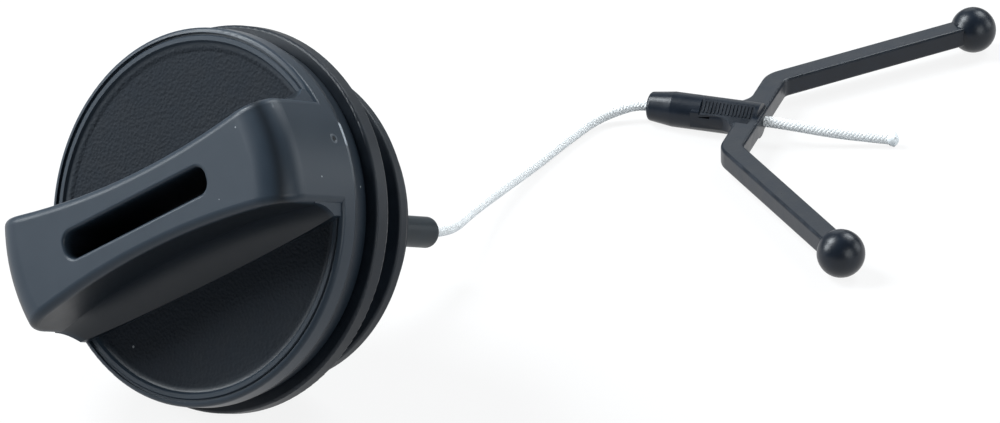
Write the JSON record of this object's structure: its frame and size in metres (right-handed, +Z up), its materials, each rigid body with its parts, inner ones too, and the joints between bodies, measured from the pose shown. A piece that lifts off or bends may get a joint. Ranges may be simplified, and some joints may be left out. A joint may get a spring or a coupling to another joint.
{
  "type": "fuel filler cap",
  "caption": "Round screw-in fuel cap with a slotted grip bar, a seal, and a swivelling cord tether that ends in a Y-shaped anchor with ball tips.",
  "frame": {"origin": "on the ground, under the cap, midway between the grip bar's foremost point and the tip of the tether's stem", "axes": "+Z up; +X along the ground in the direction of the cap's axis, from the grip bar towards the stem; +Y to the left of that. The cap lies on its side, its axis falling towards the stem."},
  "size_m": [0.1396, 0.0567, 0.0397],
  "materials": {
    "grip_plastic": "satin moulded nylon with a fine grain on the face",
    "plug_plastic": "satin moulded nylon",
    "seal_rubber": "matt",
    "stem_plastic": "satin",
    "anchor_plastic": "semi-gloss moulded plastic",
    "cord_braid": "fine pale braid with a melted end"
  },
  "bodies": {
    "tether": {"tether_stem": "stem_plastic", "tether_cord": "cord_braid", "cord_anchor": "anchor_plastic"},
    "cap": {"grip_head": "grip_plastic", "threaded_plug": "plug_plastic", "seal_ring": "seal_rubber"}
  },
  "joints": [
    {"name": "cap_swivel", "type": "hinge", "parent": "tether", "child": "cap", "pos_m": [-0.00018, 0, 0.01678], "axis": [0.9177, 0, -0.3973], "continuous": true}
  ]
}
